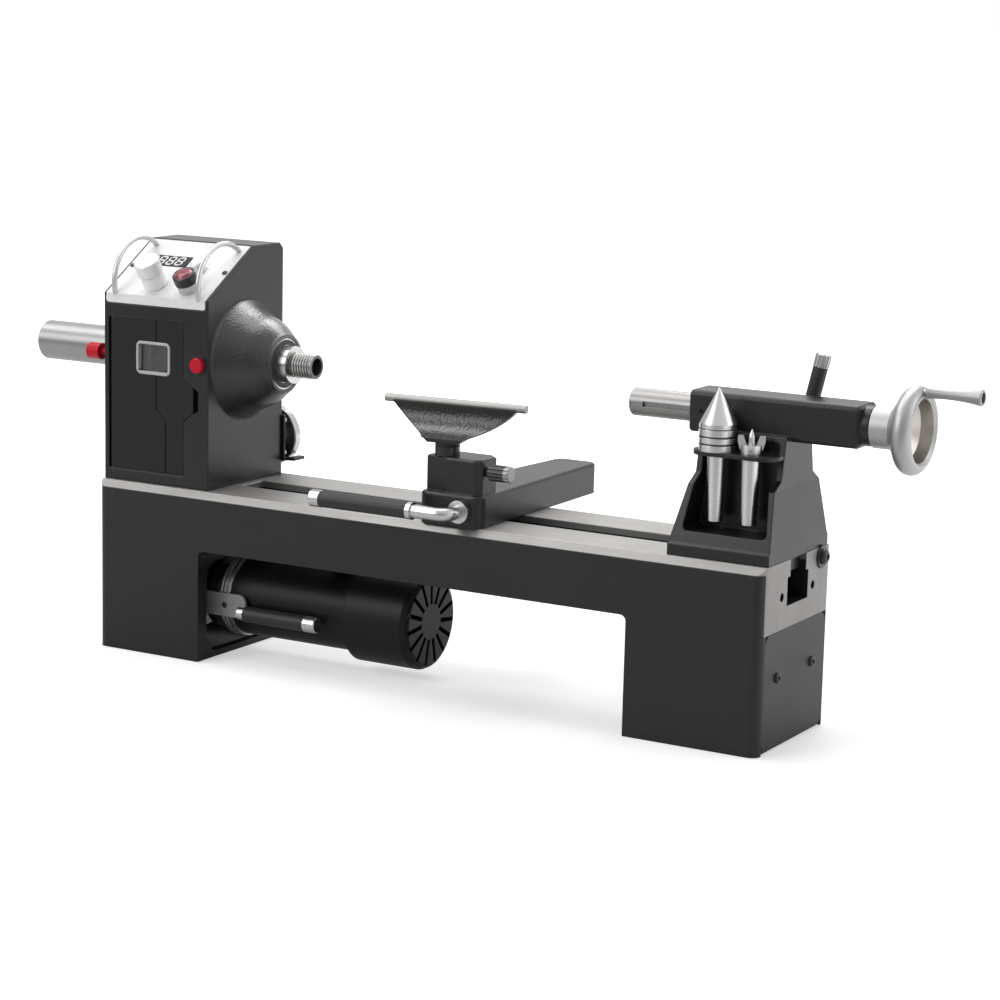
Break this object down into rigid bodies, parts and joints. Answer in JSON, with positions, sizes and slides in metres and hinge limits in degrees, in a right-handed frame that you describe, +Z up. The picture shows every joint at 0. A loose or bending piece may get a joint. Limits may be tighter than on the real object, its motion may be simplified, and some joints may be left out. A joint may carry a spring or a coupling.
{
  "type": "benchtop wood lathe",
  "caption": "Benchtop wood lathe: cast bed on two feet, headstock with sloped control panel, swinging motor below, sliding tool rest and tailstock with quill and handwheel.",
  "frame": {"origin": "centre of the four bench-bolt holes on the underside of the bed's feet", "axes": "x along the bed from headstock to tailstock, y to the back, z up along the bench bolts"},
  "size_m": [1.043, 0.2814, 0.4236],
  "materials": {
    "black_paint": "satin",
    "black_screws": "satin",
    "black_plastic": "matt",
    "motor_black": "satin",
    "black_grip": "matt",
    "red_plastic": "gloss",
    "clear_pane": "clear",
    "display": "gloss",
    "silver_panel": "satin",
    "silver_knob": "satin",
    "aluminium": "brushed",
    "bright_steel": "turned",
    "chrome": "polished",
    "cast_iron": "as cast",
    "rubber": "matt"
  },
  "bodies": {
    "lathe_frame": {"bed_casting": "black_paint", "end_cover": "black_paint", "case_screws": "black_screws", "stop_bolt": "black_screws", "headstock_housing": "black_paint", "bearing_outers": "bright_steel", "door_pins": "bright_steel", "control_panel": "silver_panel", "guard_bars": "bright_steel", "button_bezel": "black_plastic", "speed_display": "display", "speed_controller": "black_plastic", "lock_sleeve": "black_plastic", "rear_bracket": "black_paint", "power_inlet": "black_plastic", "pivot_pin": "bright_steel", "drive_belt": "rubber"},
    "spindle": {"spindle": "bright_steel", "spindle_pulley": "aluminium", "outboard_sleeve": "aluminium", "bearing_inners": "bright_steel"},
    "motor": {"motor_plate": "black_paint", "motor_end_bell": "aluminium", "motor_housing": "motor_black", "fan_cover": "motor_black", "tension_lever": "bright_steel", "tension_grip": "black_grip"},
    "motor_rotor": {"motor_shaft": "bright_steel", "motor_pulley": "aluminium", "cooling_fan": "black_plastic"},
    "belt_door": {"belt_door": "black_plastic", "door_window": "clear_pane"},
    "speed_knob": {"speed_knob": "silver_knob"},
    "direction_knob": {"direction_knob": "silver_knob"},
    "power_button": {"power_button": "red_plastic"},
    "index_pin": {"index_pin": "red_plastic"},
    "lock_button": {"lock_button": "red_plastic"},
    "faceplate": {"faceplate": "bright_steel"},
    "rest_carriage": {"rest_clamp_plate": "cast_iron"},
    "rest_swivel": {"rest_clamp_bolt": "bright_steel"},
    "banjo": {"banjo": "black_paint"},
    "banjo_lever": {"banjo_cam_lever": "chrome", "banjo_lever_grip": "black_grip"},
    "rest_collar": {"height_collar": "black_paint"},
    "tool_rest": {"tool_rest": "black_paint", "rest_bar": "bright_steel"},
    "rest_lock_knob": {"rest_lock_knob": "black_grip"},
    "tailstock": {"tailstock_casting": "black_paint", "tailstock_clamp": "cast_iron"},
    "tailstock_lever": {"tailstock_clamp_lever": "chrome"},
    "handwheel": {"handwheel": "aluminium", "quill_screw": "bright_steel", "crank_screw": "bright_steel"},
    "quill": {"quill": "bright_steel"},
    "crank_handle": {"crank_handle": "aluminium"},
    "quill_lock": {"quill_lock_lever": "black_grip"},
    "live_centre": {"live_centre_body": "bright_steel"},
    "live_point": {"live_centre_point": "bright_steel"},
    "spur_centre": {"spur_centre": "bright_steel"}
  },
  "joints": [
    {"name": "spindle_spin", "type": "hinge", "parent": "lathe_frame", "child": "spindle", "pos_m": [-0.27, 0, 0.302], "axis": [1, 0, 0], "continuous": true},
    {"name": "motor_swing", "type": "hinge", "parent": "lathe_frame", "child": "motor", "pos_m": [-0.264, 0.045, 0.11], "axis": [1, 0, 0], "range_deg": [-6, 0], "deforming": ["drive_belt"]},
    {"name": "rotor_spin", "type": "hinge", "parent": "motor", "child": "motor_rotor", "pos_m": [-0.2, 0, 0.059], "axis": [1, 0, 0], "continuous": true},
    {"name": "door_swing", "type": "hinge", "parent": "lathe_frame", "child": "belt_door", "pos_m": [-0.3655, -0.0625, 0.265], "axis": [0, 0, -1], "range_deg": [0, 110]},
    {"name": "speed_turn", "type": "hinge", "parent": "lathe_frame", "child": "speed_knob", "pos_m": [-0.322, -0.0494, 0.37694], "axis": [0, -0.5373, 0.8434], "range_deg": [-140, 140]},
    {"name": "direction_turn", "type": "hinge", "parent": "lathe_frame", "child": "direction_knob", "pos_m": [-0.286, -0.02452, 0.39279], "axis": [0, -0.5373, 0.8434], "range_deg": [-45, 45]},
    {"name": "power_press", "type": "slide", "parent": "lathe_frame", "child": "power_button", "axis": [0, 0.5373, -0.8434], "range_m": [0, 0.003], "stiffness_N_per_m": 400, "springref_m": -0.002},
    {"name": "index_press", "type": "slide", "parent": "lathe_frame", "child": "index_pin", "axis": [1, 0, 0], "range_m": [0, 0.008], "stiffness_N_per_m": 200, "springref_m": -0.005},
    {"name": "lock_press", "type": "slide", "parent": "lathe_frame", "child": "lock_button", "axis": [0, 1, 0], "range_m": [0, 0.008], "stiffness_N_per_m": 200, "springref_m": -0.005},
    {"name": "faceplate_pull", "type": "slide", "parent": "lathe_frame", "child": "faceplate", "axis": [0, 1, 0], "range_m": [0, 0.04]},
    {"name": "rest_slide", "type": "slide", "parent": "lathe_frame", "child": "rest_carriage", "axis": [1, 0, 0], "range_m": [-0.12, 0.15]},
    {"name": "rest_swivel_turn", "type": "hinge", "parent": "rest_carriage", "child": "rest_swivel", "pos_m": [0.056, 0, 0.175], "axis": [0, 0, 1], "range_deg": [-8, 25]},
    {"name": "banjo_reach", "type": "slide", "parent": "rest_swivel", "child": "banjo", "axis": [0, 1, 0], "range_m": [-0.05, 0.05]},
    {"name": "banjo_lever_turn", "type": "hinge", "parent": "banjo", "child": "banjo_lever", "pos_m": [0.056, -0.07, 0.1905], "axis": [0, 1, 0], "range_deg": [-30, 100]},
    {"name": "rest_turn", "type": "hinge", "parent": "banjo", "child": "rest_collar", "pos_m": [0.03, -0.055, 0.245], "axis": [0, 0, 1], "range_deg": [-60, 60]},
    {"name": "rest_height", "type": "slide", "parent": "rest_collar", "child": "tool_rest", "axis": [0, 0, 1], "range_m": [0, 0.045]},
    {"name": "rest_lock_turn", "type": "hinge", "parent": "banjo", "child": "rest_lock_knob", "pos_m": [0.09, -0.055, 0.228], "axis": [1, 0, 0], "range_deg": [-180, 180]},
    {"name": "tailstock_slide", "type": "slide", "parent": "lathe_frame", "child": "tailstock", "axis": [1, 0, 0], "range_m": [-0.15, 0]},
    {"name": "tailstock_lever_turn", "type": "hinge", "parent": "tailstock", "child": "tailstock_lever", "pos_m": [0.322, 0.05, 0.19], "axis": [0, 1, 0], "range_deg": [0, 60]},
    {"name": "handwheel_turn", "type": "hinge", "parent": "tailstock", "child": "handwheel", "pos_m": [0.46, 0, 0.302], "axis": [1, 0, 0], "range_deg": [0, 5400]},
    {"name": "quill_feed", "type": "slide", "parent": "tailstock", "child": "quill", "axis": [1, 0, 0], "range_m": [0, 0.06]},
    {"name": "crank_spin", "type": "hinge", "parent": "handwheel", "child": "crank_handle", "pos_m": [0.515, 0, 0.337], "axis": [1, 0, 0], "continuous": true},
    {"name": "quill_lock_turn", "type": "hinge", "parent": "tailstock", "child": "quill_lock", "pos_m": [0.3637, 0.03, 0.302], "axis": [0, 1, 0], "range_deg": [-25, 25]},
    {"name": "live_centre_lift", "type": "slide", "parent": "tailstock", "child": "live_centre", "axis": [0, 0, 1], "range_m": [0, 0.12]},
    {"name": "live_point_spin", "type": "hinge", "parent": "live_centre", "child": "live_point", "pos_m": [0.308, -0.042, 0.3], "axis": [0, 0, 1], "continuous": true},
    {"name": "spur_centre_lift", "type": "slide", "parent": "tailstock", "child": "spur_centre", "axis": [0, 0, 1], "range_m": [0, 0.12]}
  ],
  "couplings": [
    {"joint": "rotor_spin", "follows": "spindle_spin", "ratio": 1.3333},
    {"joint": "quill_feed", "follows": "handwheel_turn", "m_per_rad": 0.00063662}
  ]
}
